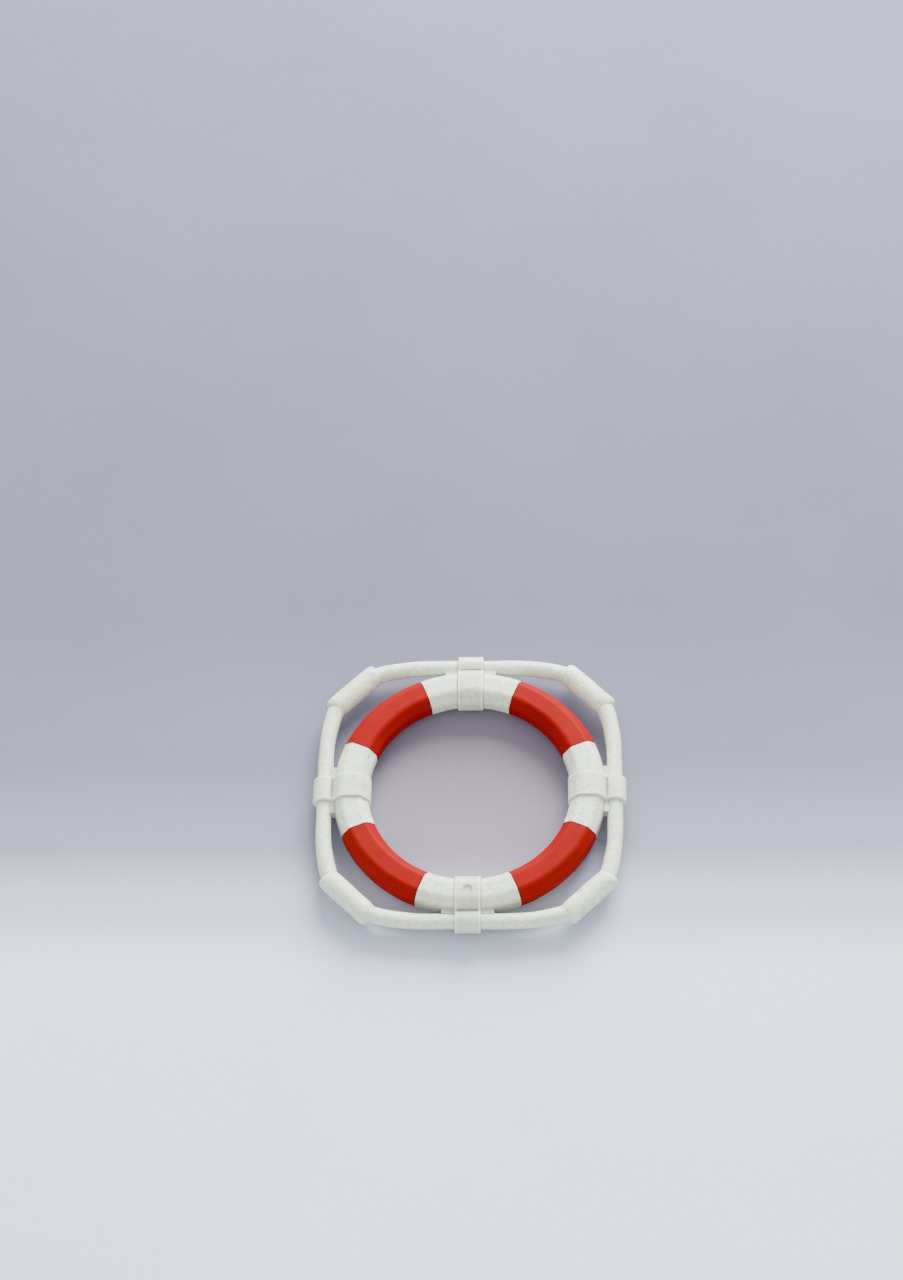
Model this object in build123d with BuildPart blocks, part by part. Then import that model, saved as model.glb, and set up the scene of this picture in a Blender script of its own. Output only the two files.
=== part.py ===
from build123d import *
import os
from math import cos, hypot, radians, sin, tan

# Miniature ring lifebuoy, lying flat: the ring's axis is +Z, its front face looks up, and the
# strap backs rest on z = 0.  All sizes are in millimetres.

# Ring: a hollow tube of rounded octagonal section, made as a front and a back shell.
RING_R = 18.95            # radius of the tube's centreline
RING_HALF_W = 2.8         # half width of the section, across the side walls
RING_HALF_H = 2.5         # half height of the section, across the crowns
SIDE_HALF = 0.9           # half height of each upright side wall
CROWN_HALF = 1.45         # half width of each flat crown
CORNER_R = 1.0            # rounding between wall, bevel and crown
SHELL_WALL = 1.2
SECTORS = 8               # four white and four red sectors of equal angle
SECTOR_ANGLE = 360 / SECTORS

# Red cover panels, let flush into both shells.
PANEL_T = 0.5

# Tongue around the front shell's rims, sunk into a rebate in the back shell.
TONGUE_W = 0.35
TONGUE_H = 0.5
FIT = 0.02                # play between the tongue or a peg and its seat

# Locating pegs inside the ring, one behind each sector boundary.
PEG_R = 0.7
PEG_BOSS_R = 1.2
PEG_DEPTH = 0.9

# Straps: a band round the ring that carries on as a collar round the grab line.
STRAP_W = 4.0
STRAP_T = 0.45
STRAP_EDGE_R = 0.12
GROOVE_R = 0.1            # rounding of the groove between band and collar
COLLAR_R = 1.85
STRAP_ANGLES = {"right": 0, "top": 90, "left": 180, "bottom": 270}

# Grab line, in the middle plane of the ring.
LINE_R = 1.25
LINE_OFFSET = 23.15       # distance of a strapped run from the ring's axis
PIVOT_REACH = 4.7         # from a strap's middle to the ball end of a bight
NECK_GAP = 0.85           # each side of a ball, left open so that the bight can swing
BALL_PLAY = 0.05
BIGHT_BEND = (10.2, LINE_OFFSET)
BIGHT_SHOULDER = (15.7, 21.75)
BEND_SHARE = 0.45         # part of a run that the arc at its corner takes

# Saddle blocks between the ring's outer wall and the line.
SADDLE_HALF_L = 4.1
SADDLE_HALF_H = 0.9
SADDLE_TOP = 22.15
SADDLE_DEPTH = 1.4
SADDLE_PLAY = 0.12

# Floats moulded round a thin neck in the middle of each bight, a little outward of the line.
FLOAT_R = 1.8
FLOAT_OFFSET = 26.75
FLOAT_STOCK_L = 14
FLOAT_END = (15.3, 21.9)
FLOAT_END_ANGLE = -20     # heading of the line where it enters the float
FLOAT_EDGE_R = 0.8
FLOAT_NECK_R = 0.9
FLOAT_ANGLES = {"ne": 45, "nw": 135, "sw": 225, "se": 315}

# Round stud that pins the bottom strap to the ring.
STUD_HEAD_R = 1.0
STUD_HEAD_T = 0.3
STUD_SHANK_R = 0.5
STUD_DEPTH = 0.8          # how far the shank goes into the front shell
STUD_DISH_R = 1.75        # radius of the sphere that hollows the head
STUD_DISH_DEPTH = 0.22

MID_Z = RING_HALF_H + STRAP_T      # height of the middle plane above the resting plane
FRONT_Z = MID_Z + RING_HALF_H
STRAP_FRONT_Z = FRONT_Z + STRAP_T
MIDDLE = Plane.XY.offset(MID_Z)


def octagon(inset):
    """Corners of the ring's section, moved evenly inward by inset."""
    rise = RING_HALF_H - SIDE_HALF
    run = RING_HALF_W - CROWN_HALF
    across = rise / hypot(rise, run)
    up = run / hypot(rise, run)
    side = RING_HALF_W - inset
    top = RING_HALF_H - inset
    edge = SIDE_HALF - inset * (1 - across) / up
    crown = CROWN_HALF - inset * (1 - up) / across
    quarter = [(side, -edge), (side, edge), (crown, top), (-crown, top)]
    return quarter + [(-x, -y) for x, y in quarter]


def turned(point, angle):
    """A point of the plan, turned by angle about the ring's axis."""
    x, y = point
    turn = radians(angle)
    return (x * cos(turn) - y * sin(turn), x * sin(turn) + y * cos(turn))


def radial_plane(angle):
    """Plane through the ring's axis: local x points outward and local y points up."""
    return Plane((0, 0, MID_Z), x_dir=turned((1, 0), angle), z_dir=turned((0, -1), angle))


def section_profile(inset=0.0):
    """The ring's rounded octagon in plan, moved evenly inward by inset."""
    with BuildSketch() as profile:
        with Locations((RING_R, 0)):
            Polygon(*octagon(inset), align=None)
        if inset < CORNER_R:
            fillet(profile.vertices(), CORNER_R - inset)
    return profile.sketch


def ring_section(inset=0.0, angle=0.0):
    """The section profile stood up at one angle of the ring."""
    with BuildSketch(radial_plane(angle)) as section:
        add(section_profile(inset))
    return section.sketch


def rim_sections(play):
    """The tongue's section at the outer and at the inner wall, widened by play."""
    reach = RING_HALF_W - SHELL_WALL + TONGUE_W / 2
    with BuildSketch(radial_plane(0)) as section:
        with Locations((RING_R - reach, 0), (RING_R + reach, 0)):
            Rectangle(TONGUE_W + 2 * play, 2 * (TONGUE_H + play))
    return section.sketch


def ring_solid(inset=0.0):
    """The whole ring as one solid, used to cut other pieces to fit."""
    with BuildPart() as ring:
        add(ring_section(inset))
        revolve(axis=Axis.Z)
    return ring.part


def red_sleeve(angle):
    """Both panels of one red sector in one piece, centred on angle."""
    start = angle - SECTOR_ANGLE / 2
    with BuildPart() as sleeve:
        add(ring_section(0, start))
        revolve(axis=Axis.Z, revolution_arc=SECTOR_ANGLE)
        add(ring_section(PANEL_T, start))
        revolve(axis=Axis.Z, revolution_arc=SECTOR_ANGLE, mode=Mode.SUBTRACT)
    return sleeve.part


def peg_circles(radius):
    """One circle behind each boundary between a red and a white sector."""
    with BuildSketch(MIDDLE) as circles:
        with PolarLocations(RING_R, SECTORS, start_angle=SECTOR_ANGLE / 2):
            Circle(radius)
    return circles.sketch


def front_shell():
    """White front half of the ring, with a tongue, eight pegs and seats for four panels."""
    with BuildPart() as shell:
        add(ring_solid())
        add(ring_solid(SHELL_WALL), mode=Mode.SUBTRACT)
        split(bisect_by=MIDDLE, keep=Keep.TOP)
        add(rim_sections(0))
        revolve(axis=Axis.Z)
        add(peg_circles(PEG_BOSS_R))
        extrude(amount=RING_HALF_H - SHELL_WALL)
        add(peg_circles(PEG_R))
        extrude(amount=-PEG_DEPTH)
        for angle in FLOAT_ANGLES.values():
            add(red_sleeve(angle), mode=Mode.SUBTRACT)
        # Blind hole for the stud of the bottom strap.
        with BuildSketch(Plane.XY.offset(FRONT_Z)):
            with Locations((0, -RING_R)):
                Circle(STUD_SHANK_R)
        extrude(amount=-STUD_DEPTH, mode=Mode.SUBTRACT)
    return shell.part


def back_shell():
    """White back half of the ring, with the rebate and the peg sockets."""
    with BuildPart() as shell:
        add(ring_solid())
        add(ring_solid(SHELL_WALL), mode=Mode.SUBTRACT)
        split(bisect_by=MIDDLE, keep=Keep.BOTTOM)
        add(peg_circles(PEG_BOSS_R))
        extrude(amount=SHELL_WALL - RING_HALF_H)
        add(rim_sections(FIT))
        revolve(axis=Axis.Z, mode=Mode.SUBTRACT)
        add(peg_circles(PEG_R + FIT))
        extrude(amount=-PEG_DEPTH - FIT, mode=Mode.SUBTRACT)
        for angle in FLOAT_ANGLES.values():
            add(red_sleeve(angle), mode=Mode.SUBTRACT)
    return shell.part


def foam_core():
    """Foam that fills the shells round the peg bosses."""
    with BuildPart() as core:
        add(ring_solid(SHELL_WALL))
        add(peg_circles(PEG_BOSS_R))
        extrude(amount=RING_HALF_H, both=True, mode=Mode.SUBTRACT)
    return core.part


def red_panel(angle, side):
    """The front or the back half of a red sector."""
    with BuildPart() as panel:
        add(red_sleeve(angle))
        split(bisect_by=MIDDLE, keep=side)
    return panel.part


def pivots(angle):
    """Centres of the two bight ends beside the strap at angle."""
    plan = [turned((LINE_OFFSET, side * PIVOT_REACH), angle) for side in (-1, 1)]
    return [(x, y, MID_Z) for x, y in plan]


def strapped_line(angle):
    """Line through one strap's collar, with a cup in each end for the ball of a bight."""
    with BuildPart() as run:
        with BuildSketch(radial_plane(angle)):
            with Locations((LINE_OFFSET, 0)):
                Circle(LINE_R)
        extrude(amount=PIVOT_REACH - NECK_GAP, both=True)
        with Locations(pivots(angle)):
            Sphere(LINE_R + BALL_PLAY, rotation=(0, 0, angle), mode=Mode.SUBTRACT)
    return run.part


def saddle(angle):
    """Block between the ring and the line, hollowed for the line and for the ball ends."""
    with BuildPart() as block:
        with BuildSketch(radial_plane(angle)):
            with Locations((SADDLE_TOP - SADDLE_DEPTH / 2, 0)):
                Rectangle(SADDLE_DEPTH, 2 * SADDLE_HALF_H)
        extrude(amount=SADDLE_HALF_L, both=True)
        add(ring_solid(), mode=Mode.SUBTRACT)
        with BuildSketch(radial_plane(angle)):
            with Locations((LINE_OFFSET, 0)):
                Circle(LINE_R)
        extrude(amount=SADDLE_HALF_L, both=True, mode=Mode.SUBTRACT)
        with Locations(pivots(angle)):
            Sphere(LINE_R + SADDLE_PLAY, rotation=(0, 0, angle), mode=Mode.SUBTRACT)
    return block.part


def strap(angle):
    """Band round the ring that carries on as a collar round the line."""
    along = Axis((0, 0, 0), turned((0, 1), angle) + (0,))
    with BuildPart() as loop:
        with BuildSketch(radial_plane(angle)) as outline:
            add(section_profile(-STRAP_T))
            with Locations((LINE_OFFSET, 0)):
                Circle(COLLAR_R)
            # The two inward corners, where the collar meets the band.
            fillet(outline.vertices().sort_by_distance((LINE_OFFSET, 0))[:2], GROOVE_R)
        extrude(amount=STRAP_W / 2, both=True)
        ends = loop.faces().filter_by(along).sort_by(along)
        fillet(ends[0].edges() + ends[-1].edges(), STRAP_EDGE_R)
        add(ring_solid(), mode=Mode.SUBTRACT)
        add(saddle(angle), mode=Mode.SUBTRACT)
        add(strapped_line(angle), mode=Mode.SUBTRACT)
    return loop.part


def studded_strap(angle):
    """A strap with a round seat and a hole for the stud in its front face."""
    with BuildPart() as loop:
        add(strap(angle))
        with BuildSketch(Plane.XY.offset(STRAP_FRONT_Z)):
            with Locations(turned((RING_R, 0), angle)):
                Circle(STUD_HEAD_R)
        extrude(amount=-STUD_HEAD_T, mode=Mode.SUBTRACT)
        with BuildSketch(Plane.XY.offset(STRAP_FRONT_Z)):
            with Locations(turned((RING_R, 0), angle)):
                Circle(STUD_SHANK_R)
        extrude(amount=-STRAP_T, mode=Mode.SUBTRACT)
    return loop.part


def stud(angle):
    """Plain round stud with a dished head."""
    x, y = turned((RING_R, 0), angle)
    with BuildPart() as pin:
        with BuildSketch(Plane.XY.offset(STRAP_FRONT_Z)):
            with Locations((x, y)):
                Circle(STUD_HEAD_R)
        extrude(amount=-STUD_HEAD_T)
        with BuildSketch(Plane.XY.offset(FRONT_Z - STUD_DEPTH)):
            with Locations((x, y)):
                Circle(STUD_SHANK_R)
        extrude(amount=STUD_DEPTH + STRAP_T - STUD_HEAD_T)
        with Locations((x, y, STRAP_FRONT_Z + STUD_DISH_R - STUD_DISH_DEPTH)):
            Sphere(STUD_DISH_R, mode=Mode.SUBTRACT)
    return pin.part


def bight_route(angle):
    """Corners of a bight's route, from neck to neck, centred on angle."""
    half = [(PIVOT_REACH + NECK_GAP, LINE_OFFSET), BIGHT_BEND, BIGHT_SHOULDER]
    route = half + [(y, x) for x, y in reversed(half)]
    return [turned(point, angle - SECTOR_ANGLE) for point in route]


def bend_radii(route):
    """Radius at each corner of a route: as large as the shorter run beside it allows."""
    radii = []
    for before, corner, after in zip(route, route[1:], route[2:]):
        run_in = Vector(*corner) - Vector(*before)
        run_out = Vector(*after) - Vector(*corner)
        shorter = min(run_in.length, run_out.length)
        radii.append(BEND_SHARE * shorter / tan(radians(run_in.get_angle(run_out)) / 2))
    return radii


def line_along(route, radius):
    """Round line of even thickness along a route in the middle plane."""
    with BuildPart() as line:
        with BuildLine(MIDDLE) as path:
            FilletPolyline(*route, radius=bend_radii(route))
        with BuildSketch(Plane(path.line @ 0, z_dir=path.line % 0)):
            Circle(radius)
        sweep(path=path.line)
    return line.part


def float_blank(angle, radius):
    """Cylinder along a float's middle line, cut off square to the line where it enters."""
    heading = turned((1, 0), FLOAT_END_ANGLE)
    with BuildPart() as blank:
        with BuildSketch(radial_plane(angle)):
            with Locations((FLOAT_OFFSET, 0)):
                Circle(radius)
        extrude(amount=FLOAT_STOCK_L / 2, both=True)
        for end, course in ((FLOAT_END, heading), (FLOAT_END[::-1], heading[::-1])):
            place = turned(end, angle - SECTOR_ANGLE)
            facing = turned(course, angle - SECTOR_ANGLE)
            split(bisect_by=Plane((*place, MID_Z), z_dir=(*facing, 0)), keep=Keep.TOP)
    return blank.part


def bight(angle):
    """Free span of the line between two straps: a ball at each end, a thin neck in the float."""
    route = bight_route(angle)
    with BuildPart() as span:
        add(line_along(route, LINE_R))
        add(float_blank(angle, 2 * FLOAT_R), mode=Mode.SUBTRACT)
        add(line_along(route, FLOAT_NECK_R))
        near = pivots(angle + SECTOR_ANGLE)[0]
        far = pivots(angle - SECTOR_ANGLE)[1]
        with Locations(near, far):
            Sphere(LINE_R, rotation=(0, 0, angle + 180))
    return span.part


def float_body(angle):
    """Float round the neck of a bight, with oblique rounded ends."""
    with BuildPart() as body:
        add(float_blank(angle, FLOAT_R))
        fillet(body.faces().filter_by(GeomType.PLANE).edges(), FLOAT_EDGE_R)
        add(line_along(bight_route(angle), FLOAT_NECK_R), mode=Mode.SUBTRACT)
    return body.part


def save(piece, name):
    """Label a piece and write it as its own STEP file."""
    piece.label = name
    export_step(piece, f"parts/{name}.step")


os.makedirs("parts", exist_ok=True)

save(front_shell(), "ring_front_shell")
save(back_shell(), "ring_back_shell")
save(foam_core(), "ring_foam_core")

for name, angle in FLOAT_ANGLES.items():
    save(red_panel(angle, Keep.TOP), f"red_panel_front_{name}")
    save(red_panel(angle, Keep.BOTTOM), f"red_panel_back_{name}")
    save(bight(angle), f"line_bight_{name}")
    save(float_body(angle), f"line_float_{name}")

for name, angle in STRAP_ANGLES.items():
    make_strap = studded_strap if name == "bottom" else strap
    save(make_strap(angle), f"strap_{name}")
    save(saddle(angle), f"saddle_{name}")
    save(strapped_line(angle), f"strapped_line_{name}")

save(stud(STRAP_ANGLES["bottom"]), "strap_stud")
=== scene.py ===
import math

import bmesh
import bpy
from mathutils import Matrix, Vector


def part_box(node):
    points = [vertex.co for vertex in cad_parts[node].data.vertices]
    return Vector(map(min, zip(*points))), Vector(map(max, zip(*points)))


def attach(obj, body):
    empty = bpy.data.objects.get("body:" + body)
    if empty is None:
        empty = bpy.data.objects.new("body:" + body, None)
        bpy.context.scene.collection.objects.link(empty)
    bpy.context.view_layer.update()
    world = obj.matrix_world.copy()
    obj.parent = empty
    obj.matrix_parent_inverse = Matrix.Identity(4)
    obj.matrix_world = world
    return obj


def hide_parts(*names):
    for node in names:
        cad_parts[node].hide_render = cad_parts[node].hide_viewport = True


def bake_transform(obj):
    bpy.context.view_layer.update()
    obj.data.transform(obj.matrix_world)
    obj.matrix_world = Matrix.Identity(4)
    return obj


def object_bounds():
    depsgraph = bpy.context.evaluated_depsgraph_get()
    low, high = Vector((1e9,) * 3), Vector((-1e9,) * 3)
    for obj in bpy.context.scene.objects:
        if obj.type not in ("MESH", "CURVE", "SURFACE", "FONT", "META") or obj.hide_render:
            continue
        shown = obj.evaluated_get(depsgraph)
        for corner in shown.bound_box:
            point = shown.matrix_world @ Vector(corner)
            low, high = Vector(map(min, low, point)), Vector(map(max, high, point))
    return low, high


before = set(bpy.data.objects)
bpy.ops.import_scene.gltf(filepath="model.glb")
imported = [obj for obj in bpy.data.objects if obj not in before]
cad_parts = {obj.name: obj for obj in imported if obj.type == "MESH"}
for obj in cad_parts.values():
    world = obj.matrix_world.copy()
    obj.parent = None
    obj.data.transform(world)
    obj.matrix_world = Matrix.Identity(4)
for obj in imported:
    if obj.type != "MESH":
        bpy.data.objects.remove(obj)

MM = 0.001
CAD_LOW, CAD_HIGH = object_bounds()

STRAP_LOW, STRAP_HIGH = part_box("strap_right")
LINE_LOW, LINE_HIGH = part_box("strapped_line_top")
STUD_LOW, STUD_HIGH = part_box("strap_stud")

# MID_Z, the height of the ring's middle, is in metres. The other sizes and places are in
# millimetres from that middle, unless a comment says otherwise.
MID_Z = (STRAP_LOW.z + STRAP_HIGH.z) / 2
LINE_OFFSET = round((LINE_LOW.y + LINE_HIGH.y) / 2 / MM, 3)
LINE_R = (LINE_HIGH.z - LINE_LOW.z) / 2 / MM
STUD_Y = round((STUD_LOW.y + STUD_HIGH.y) / 2 / MM, 3)

# Where the straps and the bights stand, in degrees.
SIDES = {"right": 0, "top": 90, "left": 180, "bottom": 270}
CORNERS = {"ne": 45, "nw": 135, "sw": 225, "se": 315}


# ---------------------------------------------------------------- camera, floor and light

CAMERA_FROM = (17.1, -244.0, 430.6)
CAMERA_AIM = (-3.3, 28.7, 0.0)
CAMERA_ROLL = -4.06             # degrees
CAMERA_LENS = 87.2
SENSOR_W = 36
CLIP_START = 0.01               # metres
CLIP_END = 10                   # metres

# Lights: places and sizes in metres, powers in watts.
KEY = {"place": (0.10, 0.42, 0.24), "size": 0.32, "power": 10.5, "colour": (1.0, 0.995, 0.975)}
FILL = {"place": (-0.05, -0.40, 0.50), "size": 0.60, "power": 1.3, "colour": (0.97, 0.98, 1.0)}
SKY_COLOUR = (0.97, 0.95, 1.0)
SKY_STRENGTH = 1.14

FLOOR_HALF = 6.0                # metres
FLOOR_GAP = 0.01


def add_camera():
    """A long lens, looking down at the ring from its lower side."""
    middle = Vector((0, 0, MID_Z))
    place = middle + Vector(CAMERA_FROM) * MM
    aim = middle + Vector(CAMERA_AIM) * MM
    data = bpy.data.cameras.new("camera")
    data.lens = CAMERA_LENS
    data.sensor_width = SENSOR_W
    data.sensor_fit = "AUTO"
    data.clip_start = CLIP_START
    data.clip_end = CLIP_END
    camera = bpy.data.objects.new("camera", data)
    turn = (aim - place).to_track_quat("-Z", "Y").to_matrix()
    roll = Matrix.Rotation(math.radians(CAMERA_ROLL), 3, "Z")
    camera.matrix_world = Matrix.Translation(place) @ (turn @ roll).to_4x4()
    bpy.context.scene.collection.objects.link(camera)
    bpy.context.scene.camera = camera


def add_area(name, place, size, power, colour):
    """A soft square light that points at the ring."""
    data = bpy.data.lights.new(name, "AREA")
    data.shape = "SQUARE"
    data.size = size
    data.energy = power
    data.color = colour
    light = bpy.data.objects.new(name, data)
    light.location = place
    toward_ring = Vector((0, 0, MID_Z)) - Vector(place)
    light.rotation_euler = toward_ring.to_track_quat("-Z", "Y").to_euler()
    bpy.context.scene.collection.objects.link(light)


def add_lights():
    """A key beyond the ring and to its right, a weak fill from the camera's side, and a pale sky."""
    add_area("key", **KEY)
    add_area("fill", **FILL)
    world = bpy.data.worlds.new("studio")
    world.use_nodes = True
    sky = world.node_tree.nodes["Background"]
    sky.inputs["Color"].default_value = (*SKY_COLOUR, 1)
    sky.inputs["Strength"].default_value = SKY_STRENGTH
    bpy.context.scene.world = world


def add_floor(material):
    """A plain sheet of paper that the ring lies on."""
    half = FLOOR_HALF
    mesh = bpy.data.meshes.new("floor")
    corners = [(-half, -half, 0), (half, -half, 0), (half, half, 0), (-half, half, 0)]
    mesh.from_pydata(corners, [], [(0, 1, 2, 3)])
    floor = bpy.data.objects.new("floor", mesh)
    floor.location.z = CAD_LOW.z - FLOOR_GAP * MM
    floor.data.materials.append(material)
    bpy.context.scene.collection.objects.link(floor)


# ---------------------------------------------------------------- shader steps

class Shader:
    """A node material under way: a Principled shader and the place in millimetres."""

    def __init__(self, name):
        self.material = bpy.data.materials.new(name)
        self.material.use_nodes = True
        self.nodes = self.material.node_tree.nodes
        self.links = self.material.node_tree.links
        self.surface = self.nodes["Principled BSDF"]
        place = self.nodes.new("ShaderNodeTexCoord")
        self.place = self.nodes.new("ShaderNodeMapping")
        self.place.inputs["Scale"].default_value = (1 / MM, 1 / MM, 1 / MM)
        self.links.new(place.outputs["Object"], self.place.inputs["Vector"])

    def maths(self, operation, first, second=0.0):
        """One step of arithmetic on two values, each a number or a socket."""
        node = self.nodes.new("ShaderNodeMath")
        node.operation = operation
        for socket, value in zip(node.inputs, (first, second)):
            if isinstance(value, float):
                socket.default_value = value
            else:
                self.links.new(value, socket)
        return node.outputs[0]

    def ramp(self, value, stops):
        """A grey ramp through (position, grey) stops."""
        node = self.nodes.new("ShaderNodeValToRGB")
        elements = node.color_ramp.elements
        while len(elements) < len(stops):
            elements.new(0.5)
        for element, (position, grey) in zip(elements, stops):
            element.position = position
            element.color = (grey, grey, grey, 1)
        self.links.new(value, node.inputs["Fac"])
        return node.outputs["Color"]

    def rise(self, value, low, high):
        """0 up to low, 1 from high on and a straight rise between them."""
        return self.ramp(value, [(low, 0.0), (high, 1.0)])

    def band(self, length, stops, scale):
        """A ramp over a length through (millimetres, grey) stops, none of them above scale."""
        return self.ramp(self.maths("DIVIDE", length, scale), [(at / scale, grey) for at, grey in stops])

    def along_y(self, stops):
        """A smooth ramp over y, through (millimetres, grey) stops."""
        low, high = stops[0][0], stops[-1][0]
        share = self.maths("DIVIDE", self.maths("SUBTRACT", self.parts()[1], low), high - low)
        colour = self.ramp(share, [((y - low) / (high - low), grey) for y, grey in stops])
        colour.node.color_ramp.interpolation = "EASE"
        return colour

    def parts(self):
        """The x, y and z of the place, in millimetres."""
        node = self.nodes.new("ShaderNodeSeparateXYZ")
        self.links.new(self.place.outputs["Vector"], node.inputs[0])
        return node.outputs

    def reach(self):
        """How far out along the nearer of the x and y axes, in millimetres."""
        x, y, _ = self.parts()
        return self.maths("MAXIMUM", self.maths("ABSOLUTE", x), self.maths("ABSOLUTE", y))

    def aside(self):
        """Distance from the nearer of the planes x = 0 and y = 0, in millimetres."""
        x, y, _ = self.parts()
        return self.maths("MINIMUM", self.maths("ABSOLUTE", x), self.maths("ABSOLUTE", y))

    def distance(self, centre_y=0.0):
        """Distance in plan from (0, centre_y), in millimetres."""
        x, y, _ = self.parts()
        across = self.maths("MULTIPLY", x, x)
        off = self.maths("SUBTRACT", y, centre_y)
        return self.maths("SQRT", self.maths("ADD", across, self.maths("MULTIPLY", off, off)))

    def noise(self, per_mm, detail=3.0, rough=0.55):
        """Soft noise, about 0.5 on average."""
        node = self.nodes.new("ShaderNodeTexNoise")
        node.inputs["Scale"].default_value = per_mm
        node.inputs["Detail"].default_value = detail
        node.inputs["Roughness"].default_value = rough
        self.links.new(self.place.outputs["Vector"], node.inputs["Vector"])
        return node.outputs["Fac"]

    def specks(self, per_mm, size):
        """1 inside small scattered dots and 0 elsewhere."""
        node = self.nodes.new("ShaderNodeTexVoronoi")
        node.inputs["Scale"].default_value = per_mm
        node.inputs["Randomness"].default_value = 1.0
        self.links.new(self.place.outputs["Vector"], node.inputs["Vector"])
        return self.ramp(node.outputs["Distance"], [(0.0, 1.0), (size, 1.0), (size * 2, 0.0)])

    def mix(self, share, first, second, amount=1.0):
        """first where share is 0, and towards second by amount where it is 1."""
        node = self.nodes.new("ShaderNodeMix")
        node.data_type = "RGBA"
        self.links.new(self.maths("MULTIPLY", share, amount), node.inputs["Factor"])
        for socket, colour in (("A", first), ("B", second)):
            target = [i for i in node.inputs if i.name == socket and i.type == "RGBA"][0]
            if isinstance(colour, tuple):
                target.default_value = (*colour, 1)
            else:
                self.links.new(colour, target)
        return [o for o in node.outputs if o.type == "RGBA"][0]

    def bump(self, height, strength, depth, after=None):
        """A bumped normal, up to depth in metres, on top of another bump where one is given."""
        node = self.nodes.new("ShaderNodeBump")
        node.inputs["Strength"].default_value = strength
        node.inputs["Distance"].default_value = depth
        self.links.new(height, node.inputs["Height"])
        if after is not None:
            self.links.new(after, node.inputs["Normal"])
        return node.outputs["Normal"]

    def finish(self, colour, normal):
        """The material, with this colour and normal."""
        self.links.new(colour, self.surface.inputs["Base Color"])
        self.links.new(normal, self.surface.inputs["Normal"])
        return self.material


# ---------------------------------------------------------------- dirt, painted shade and painted highlights

# Stops as (millimetres, grey), and for each length the top of its scale.
REACH_SCALE = 30.0
# Where painted shade lies in the straps' grooves.
GROOVE_STOPS = ((21.60, 0.0), (21.85, 1.0), (22.02, 1.0), (22.22, 0.0))
# Where painted shade lies on the ring's outer wall.
OUTER_WALL_STOPS = ((21.25, 0.0), (21.75, 1.0))
ASIDE_SCALE = 4.0
# Where painted shade lies along the straps' edges.
STRAP_EDGE_STOPS = ((1.85, 0.0), (1.98, 0.8), (2.06, 0.8), (2.35, 0.0))
# Where the painted highlight lies on the straps' edges.
EDGE_HIGHLIGHT_STOPS = ((1.66, 0.0), (1.80, 1.0), (2.00, 1.0), (2.05, 0.0))
STUD_SCALE = 2.0
# Where painted shade lies round the stud's dish.
STUD_RIM_STOPS = ((0.25, 0.35), (0.5, 0.9), (0.72, 0.9), (0.85, 0.0))

# How far round a red sector its seams start and are full, as shares of its half angle.
SEAM_FROM = 0.955
SEAM_FULL = 0.985


def groove_shade(s):
    """Painted shade in the groove between a strap's band and its collar."""
    return s.band(s.reach(), GROOVE_STOPS, REACH_SCALE)


def strap_edge_shade(s):
    """Painted shade along the lines where the straps' edges meet what they hold."""
    return s.band(s.aside(), STRAP_EDGE_STOPS, ASIDE_SCALE)


def painted_edge_highlight(s):
    """A painted highlight on the outermost fraction of a millimetre of a strap, pale along its edges."""
    return s.band(s.aside(), EDGE_HIGHLIGHT_STOPS, ASIDE_SCALE)


def shell_wall_shade(s):
    """Painted shade on the ring's outer wall, in the lee of the line, and along the straps' edges."""
    wall = s.band(s.distance(), OUTER_WALL_STOPS, REACH_SCALE)
    return s.maths("MAXIMUM", wall, strap_edge_shade(s))


def stud_dish_shade(s):
    """Painted shade round the bottom of the stud's dish."""
    return s.band(s.distance(STUD_Y), STUD_RIM_STOPS, STUD_SCALE)


def saddle_dirt(s):
    """Uneven dirt all over a saddle."""
    return s.ramp(s.noise(0.9, 4.0, 0.7), [(0.35, 0.2), (0.62, 1.0)])


def sector_ends(s):
    """1 on a thin line at both ends of a 45 degree sector centred on a diagonal."""
    x, y, _ = s.parts()
    turn = s.maths("ARCTAN2", s.maths("ABSOLUTE", y), s.maths("ABSOLUTE", x))
    off = s.maths("ABSOLUTE", s.maths("SUBTRACT", turn, math.pi / 4))
    return s.rise(s.maths("DIVIDE", off, math.pi / 8), SEAM_FROM, SEAM_FULL)


# ---------------------------------------------------------------- materials

# Colours are linear. The whites are a little green and the reds deep, so that both show as in
# the photo after the renderer's view transform.
SHELL_WHITE = (0.790, 0.885, 0.690)
SHELL_SHADE = (0.740, 0.830, 0.630)
STRAP_WHITE = (0.720, 0.815, 0.625)
STRAP_SHADE = (0.665, 0.750, 0.565)
LINE_WHITE = (0.800, 0.890, 0.690)
LINE_SHADE = (0.745, 0.835, 0.630)
FLOAT_WHITE = (0.795, 0.885, 0.690)
FLOAT_SHADE = (0.745, 0.835, 0.635)
# Painted highlight on the straps' edges.
EDGE_HIGHLIGHT = (0.96, 1.0, 0.90)
# Dark brown for dirt on the saddles and for painted shade in grooves, gaps and along edges.
DIRT_AND_SHADE = (0.19, 0.17, 0.12)
GRIME = (0.46, 0.50, 0.36)
GRIME_DOT = (0.24, 0.25, 0.19)
RED = (0.255, 0.0036, 0.0020)
RED_SHADE = (0.225, 0.0030, 0.0016)
RED_FLECK = (0.33, 0.0075, 0.0040)
RED_SEAM = (0.09, 0.012, 0.010)
FOAM = (0.80, 0.76, 0.60)
FOAM_SHADE = (0.70, 0.65, 0.48)
# Paper colours: in painted shade away from the camera, and lit on the camera's side.
PAPER_FAR_SHADE = (0.140, 0.142, 0.200)
PAPER_NEAR_LIT = (0.74, 0.82, 1.0)
PAPER_CLOUD = (0.30, 0.31, 0.42)
PAPER_FIBRE = (0.25, 0.26, 0.34)
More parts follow.
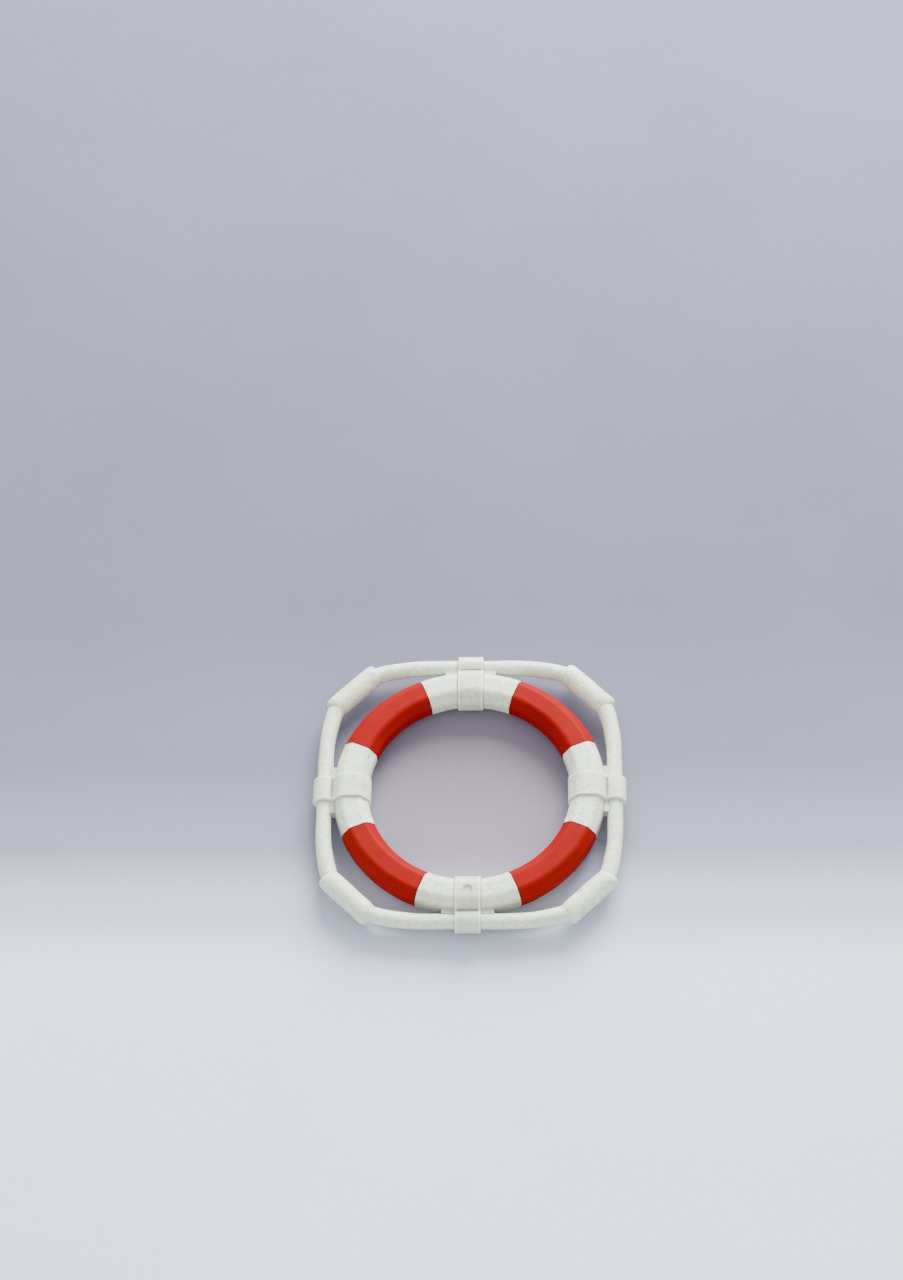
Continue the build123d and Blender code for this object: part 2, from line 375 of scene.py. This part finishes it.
# Painted rosy reflection of the red panels, with painted shade, on the paper in the ring.
PAPER_RED_BOUNCE = (0.24, 0.17, 0.205)

MOTTLE_DEPTH = 0.62             # how dark a white's mottling is, as a share of its own colour
MOTTLE_AMOUNT = 0.75
SMUDGE_AMOUNT = 0.62
DOT_AMOUNT = 0.70
# How strong the painted edge highlight is.
EDGE_HIGHLIGHT_AMOUNT = 0.75
FLECK_AMOUNT = 0.25
SEAM_AMOUNT = 0.9
PAPER_AMOUNT = 0.12             # of the clouds and of the fibre
# How strong the painted rosy reflection and shade in the ring is.
RED_BOUNCE_AMOUNT = 0.5

# Painted light and shade on the paper: over y, lit on the camera's side and in painted shade away from
# it, and, by distance from the middle of the ring, a painted rosy reflection of the red with a little
# painted shade.
PAINTED_LIGHT_STOPS = ((-31.0, 1.0), (-18.0, 0.58), (-7.0, 0.20), (10.0, 0.07), (40.0, 0.0))
RED_BOUNCE_STOPS = ((12.0, 1.0), (30.0, 0.0))
RED_BOUNCE_SCALE = 40.0


def moulded_white(name, base, shade, grain, dirt_and_shade_mask=None, dirt_and_shade_amount=0.0, highlight=None):
    """Off-white moulded plastic: cloudy tint, mottled and slightly grubby, with an uneven satin skin.

    A higher grain makes its clouds and smudges smaller."""
    s = Shader(name)
    clouds = s.rise(s.noise(0.22 * grain, detail=2.0), 0.35, 0.7)
    mottle = s.rise(s.noise(1.5, detail=5.0, rough=0.75), 0.44, 0.66)
    smudge = s.rise(s.noise(0.42 * grain, detail=5.0, rough=0.72), 0.56, 0.74)
    colour = s.mix(clouds, base, shade)
    colour = s.mix(mottle, colour, tuple(MOTTLE_DEPTH * c for c in base), MOTTLE_AMOUNT)
    colour = s.mix(smudge, colour, GRIME, SMUDGE_AMOUNT)
    colour = s.mix(s.specks(0.9, size=0.045), colour, GRIME_DOT, DOT_AMOUNT)
    # Darkening by the mask given: dirt on the saddles, painted shade elsewhere.
    if dirt_and_shade_mask is not None:
        colour = s.mix(dirt_and_shade_mask(s), colour, DIRT_AND_SHADE, dirt_and_shade_amount)
    # A painted highlight along the edges, where its mask is given.
    if highlight is not None:
        colour = s.mix(highlight(s), colour, EDGE_HIGHLIGHT, EDGE_HIGHLIGHT_AMOUNT)
    surface = s.surface
    surface.inputs["Roughness"].default_value = 0.45
    surface.inputs["IOR"].default_value = 1.46
    surface.inputs["Specular IOR Level"].default_value = 0.35
    surface.inputs["Subsurface Weight"].default_value = 0.12
    surface.inputs["Subsurface Radius"].default_value = (0.8, 0.8, 0.7)
    surface.inputs["Subsurface Scale"].default_value = 0.6 * MM
    coarse = s.bump(s.noise(0.9), strength=0.7, depth=0.12 * MM)
    fine = s.bump(s.noise(5.0, detail=4.0, rough=0.65), strength=0.5, depth=0.03 * MM, after=coarse)
    return s.finish(colour, fine)


def signal_red(name):
    """Deep red satin plastic, a little cloudy, with a dark seam where it meets the white sectors."""
    s = Shader(name)
    clouds = s.rise(s.noise(0.35), 0.35, 0.7)
    fleck = s.rise(s.noise(5.0, rough=0.7), 0.5, 0.8)
    colour = s.mix(clouds, RED, RED_SHADE)
    colour = s.mix(fleck, colour, RED_FLECK, FLECK_AMOUNT)
    colour = s.mix(sector_ends(s), colour, RED_SEAM, SEAM_AMOUNT)
    surface = s.surface
    surface.inputs["Roughness"].default_value = 0.58
    surface.inputs["IOR"].default_value = 1.45
    surface.inputs["Specular IOR Level"].default_value = 0.07
    coarse = s.bump(s.noise(0.7), strength=0.3, depth=0.08 * MM)
    fine = s.bump(s.noise(6.0, rough=0.6), strength=0.12, depth=0.02 * MM, after=coarse)
    return s.finish(colour, fine)


def foam(name):
    """Closed-cell foam."""
    s = Shader(name)
    cells = s.rise(s.noise(3.0, detail=4.0, rough=0.7), 0.4, 0.7)
    colour = s.mix(cells, FOAM, FOAM_SHADE)
    s.surface.inputs["Roughness"].default_value = 0.9
    return s.finish(colour, s.bump(s.noise(5.0), strength=0.6, depth=0.05 * MM))


def paper(name):
    """Pale paper with a faint fibre, grey-blue, lit on the camera's side with painted shade away from
    it, and with a painted rosy reflection and shade in the ring.
    """
    s = Shader(name)
    clouds = s.rise(s.noise(0.02), 0.3, 0.75)
    fibre = s.rise(s.noise(1.6, detail=5.0, rough=0.7), 0.35, 0.75)
    red_bounce = s.band(s.distance(), RED_BOUNCE_STOPS, RED_BOUNCE_SCALE)
    # Painted shade: the paper darkens away from the camera's side.
    colour = s.mix(s.along_y(PAINTED_LIGHT_STOPS), PAPER_FAR_SHADE, PAPER_NEAR_LIT)
    colour = s.mix(clouds, colour, PAPER_CLOUD, PAPER_AMOUNT)
    colour = s.mix(fibre, colour, PAPER_FIBRE, PAPER_AMOUNT)
    # Painted rosy reflection of the red and painted shade in and round the ring.
    colour = s.mix(red_bounce, colour, PAPER_RED_BOUNCE, RED_BOUNCE_AMOUNT)
    s.surface.inputs["Roughness"].default_value = 0.9
    s.surface.inputs["IOR"].default_value = 1.2
    fibre_bump = s.bump(s.noise(3.0, detail=4.0, rough=0.7), strength=0.2, depth=0.04 * MM)
    return s.finish(colour, fibre_bump)


# ---------------------------------------------------------------- carried-over CAD nodes

def dress(start, material):
    """Give a node material to the CAD nodes whose names begin with start, or with any of its words."""
    for name, node in sorted(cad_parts.items()):
        if name.startswith(start):
            node.data.materials.clear()
            node.data.materials.append(material)


def dress_nodes():
    """Materials for the ring's own pieces, the straps, the stud and the saddles."""
    shell = moulded_white("white_shell", SHELL_WHITE, SHELL_SHADE, 1.0, shell_wall_shade, 0.75)
    strap = moulded_white("white_strap", STRAP_WHITE, STRAP_SHADE, 1.4, groove_shade, 0.80, painted_edge_highlight)
    saddle = moulded_white("white_saddle", STRAP_WHITE, STRAP_SHADE, 1.8, saddle_dirt, 0.35)
    stud = moulded_white("white_stud", STRAP_SHADE, SHELL_SHADE, 1.8, stud_dish_shade, 0.65)
    dress(("ring_front_shell", "ring_back_shell"), shell)
    dress("ring_foam_core", foam("foam_core"))
    dress("red_panel", signal_red("red_panel"))
    dress(tuple(f"strap_{side}" for side in SIDES), strap)
    dress("strap_stud", stud)
    dress("saddle_", saddle)


# ---------------------------------------------------------------- swept pieces

COURSE_STEPS_PER_SPAN = 40


def smooth_course(points, steps):
    """Points evenly spread along a Catmull-Rom curve through the given ones."""
    first = tuple(2 * a - b for a, b in zip(points[0], points[1]))
    last = tuple(2 * a - b for a, b in zip(points[-1], points[-2]))
    padded = [Vector(p) for p in (first, *points, last)]
    dense = []
    for p0, p1, p2, p3 in zip(padded, padded[1:], padded[2:], padded[3:]):
        for i in range(COURSE_STEPS_PER_SPAN):
            t = i / COURSE_STEPS_PER_SPAN
            dense.append(0.5 * (2 * p1 + (p2 - p0) * t + (2 * p0 - 5 * p1 + 4 * p2 - p3) * t * t
                                + (3 * p1 - p0 - 3 * p2 + p3) * t ** 3))
    dense.append(Vector(points[-1]))
    walked = [0.0]
    for before, after in zip(dense, dense[1:]):
        walked.append(walked[-1] + (after - before).length)
    course = []
    k = 0
    for i in range(steps + 1):
        want = walked[-1] * i / steps
        while k < len(walked) - 2 and walked[k + 1] < want:
            k += 1
        share = (want - walked[k]) / (walked[k + 1] - walked[k])
        course.append(dense[k].lerp(dense[k + 1], min(share, 1.0)))
    return course


def eased(value, low, high):
    """0 below low, 1 above high and smooth between them."""
    t = min(max((value - low) / (high - low), 0.0), 1.0)
    return t * t * (3 - 2 * t)


def skin(name, rings):
    """A closed piece through rings of points in millimetres, smooth but for its end caps."""
    mesh = bmesh.new()
    loops = []
    for ring in rings:
        loops.append([mesh.verts.new((p.x * MM, p.y * MM, p.z * MM + MID_Z)) for p in ring])
    for before, after in zip(loops, loops[1:]):
        for k in range(len(before)):
            n = (k + 1) % len(before)
            mesh.faces.new((before[k], before[n], after[n], after[k]))
    mesh.faces.new(loops[0])
    mesh.faces.new(loops[-1])
    bmesh.ops.recalc_face_normals(mesh, faces=mesh.faces)
    data = bpy.data.meshes.new(name)
    mesh.to_mesh(data)
    mesh.free()
    for face in data.polygons:
        face.use_smooth = len(face.vertices) == 4
    piece = bpy.data.objects.new(name, data)
    bpy.context.scene.collection.objects.link(piece)
    return piece


# ---------------------------------------------------------------- grab line

# The line's course from the middle of the top strap into the next float: x runs along the line
# and y outward. The other halves are the same, mirrored and turned.
LINE_COURSE = ((0.0, LINE_OFFSET), (3.0, LINE_OFFSET), (6.0, LINE_OFFSET), (9.2, 23.02),
               (12.4, 22.55), (15.3, 21.75), (17.3, 20.15), (18.75, 18.70))
LINE_STEPS = 90
LINE_ROUND_STEPS = 28

# The line's radius, by shares of the course: it swells towards the float and thins inside it.
LINE_SLIM = 0.985               # as a share of the CAD line's radius
LINE_WAVES = ((0.018, 9, 1.0), (0.012, 23, 2.1))    # as (share of the radius, pace, shift)
LINE_SWELL = 0.14
SWELL_FROM = 0.35
NECK_FROM = 0.86
NECK_FULL = NECK_FROM + 0.04
NECK_R = 0.90
MOULD_SEAM_H = 0.02             # height of the low mould seam on the inner and outer sides
MOULD_SEAM_HALF_W = 0.16        # its half width, as the sine of an angle round the line
LINE_SHIFT = 1.7                # between one half's unevenness and the next one's

# The halves of the line, by strap and by the hand that they run to, and the bight that each is in.
HALVES = {("right", 1): "se", ("right", -1): "ne", ("top", 1): "ne", ("top", -1): "nw",
          ("left", 1): "nw", ("left", -1): "sw", ("bottom", 1): "sw", ("bottom", -1): "se"}


def line_radius(share, shift):
    """Radius at a share of the course: slightly uneven, fuller near the float and thin inside it."""
    wave = sum(height * math.sin(pace * share + factor * shift) for height, pace, factor in LINE_WAVES)
    radius = LINE_R * (LINE_SLIM + wave) + LINE_SWELL * eased(share, SWELL_FROM, NECK_FROM)
    return radius + (NECK_R - radius) * eased(share, NECK_FROM, NECK_FULL)


def half_line(name, turn, hand, shift):
    """Half a bight of the line: from the middle of a strap, towards hand, into the float."""
    course = smooth_course(LINE_COURSE, LINE_STEPS)
    rings = []
    for i, point in enumerate(course):
        before, after = course[max(i - 1, 0)], course[min(i + 1, LINE_STEPS)]
        along = (after - before).normalized()
        side = Vector((-along.y, along.x, 0))
        radius = line_radius(i / LINE_STEPS, shift)
        ring = []
        for k in range(LINE_ROUND_STEPS):
            a = 2 * math.pi * k / LINE_ROUND_STEPS
            r = radius + MOULD_SEAM_H * math.exp(-(math.sin(a) / MOULD_SEAM_HALF_W) ** 2)
            place = Vector((point.x, point.y, r * math.sin(a))) + side * (r * math.cos(a))
            place.x *= hand
            ring.append(turn @ place)
        rings.append(ring)
    return skin(name, rings)


def add_line(material):
    """The whole line, in eight halves that meet at the middles of their straps."""
    for number, ((side, hand), corner) in enumerate(HALVES.items()):
        turn = Matrix.Rotation(math.radians(SIDES[side] - SIDES["top"]), 3, "Z")
        line = half_line(f"line_{side}_{corner}", turn, hand, LINE_SHIFT * number)
        line.data.materials.append(material)
        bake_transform(line)
        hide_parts(f"strapped_line_{side}", f"line_bight_{corner}")


# ---------------------------------------------------------------- floats

FLOAT_OFFSET = 26.62
FLOAT_R = 1.80
FLOAT_HALF_L = 4.80
FLOAT_SLANT = 0.42              # how much longer the float is outward, per length out from its axis
SLANT_FROM = 0.8
FLOAT_ROUND_L = 1.5             # length of each rounded end
FLOAT_MOUTH_R = 1.22
FLOAT_MOUTH_IN = 0.50           # how far inward of the float's axis the line enters it
FLOAT_STEPS = 72
FLOAT_ROUND_STEPS = 56
FLOAT_WAVE = 0.010              # unevenness along the float, as a share of the radius
FLOAT_WAVE_PACE = 0.9           # radians per millimetre
FLOAT_TWIST = 0.008             # unevenness round it, which turns along it
FLOAT_TWIST_PACE = 1.3
FLOAT_SHIFT = 2.3               # between one float's unevenness and the next one's


def float_station(step):
    """Place along the axis, inward shift, radius and share of the slant at one step of a float."""
    full_to = FLOAT_HALF_L - FLOAT_ROUND_L
    along = FLOAT_HALF_L * math.sin(math.pi * (step / FLOAT_STEPS - 0.5))
    into_end = max(abs(along) - full_to, 0.0) / FLOAT_ROUND_L
    close = 1 - math.sqrt(max(1 - into_end * into_end, 0.0))
    slant = math.copysign(eased(abs(along), SLANT_FROM, full_to), along)
    return along, FLOAT_MOUTH_IN * close, FLOAT_R + (FLOAT_MOUTH_R - FLOAT_R) * close, slant


def float_piece(name, angle, shift):
    """A float: a slanted cylinder, its ends rounded off outward and run into the line inward."""
    turn = Matrix.Rotation(math.radians(angle), 3, "Z")
    rings = []
    for step in range(FLOAT_STEPS + 1):
        along, inward, radius, slant = float_station(step)
        wave = FLOAT_WAVE * math.sin(FLOAT_WAVE_PACE * along + shift)
        ring = []
        for k in range(FLOAT_ROUND_STEPS):
            a = 2 * math.pi * k / FLOAT_ROUND_STEPS
            twist = FLOAT_TWIST * math.sin(2 * a + FLOAT_TWIST_PACE * along + 2 * shift)
            r = radius * (1 + wave + twist)
            out = r * math.cos(a) - inward
            up = r * math.sin(a)
            ring.append(turn @ Vector((FLOAT_OFFSET + out, along + FLOAT_SLANT * slant * out, up)))
        rings.append(ring)
    return skin(name, rings)


def add_floats(material):
    """One float round the middle of each bight."""
    for number, (corner, angle) in enumerate(CORNERS.items()):
        piece = float_piece(f"float_{corner}", angle, FLOAT_SHIFT * number)
        piece.data.materials.append(material)
        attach(piece, f"bight_{corner}")
        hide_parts(f"line_float_{corner}")


add_camera()
add_lights()
add_floor(paper("floor_paper"))
dress_nodes()
# The line gets painted shade where it runs into the straps.
add_line(moulded_white("white_line", LINE_WHITE, LINE_SHADE, 1.2, strap_edge_shade, 0.60))
add_floats(moulded_white("white_float", FLOAT_WHITE, FLOAT_SHADE, 0.9))
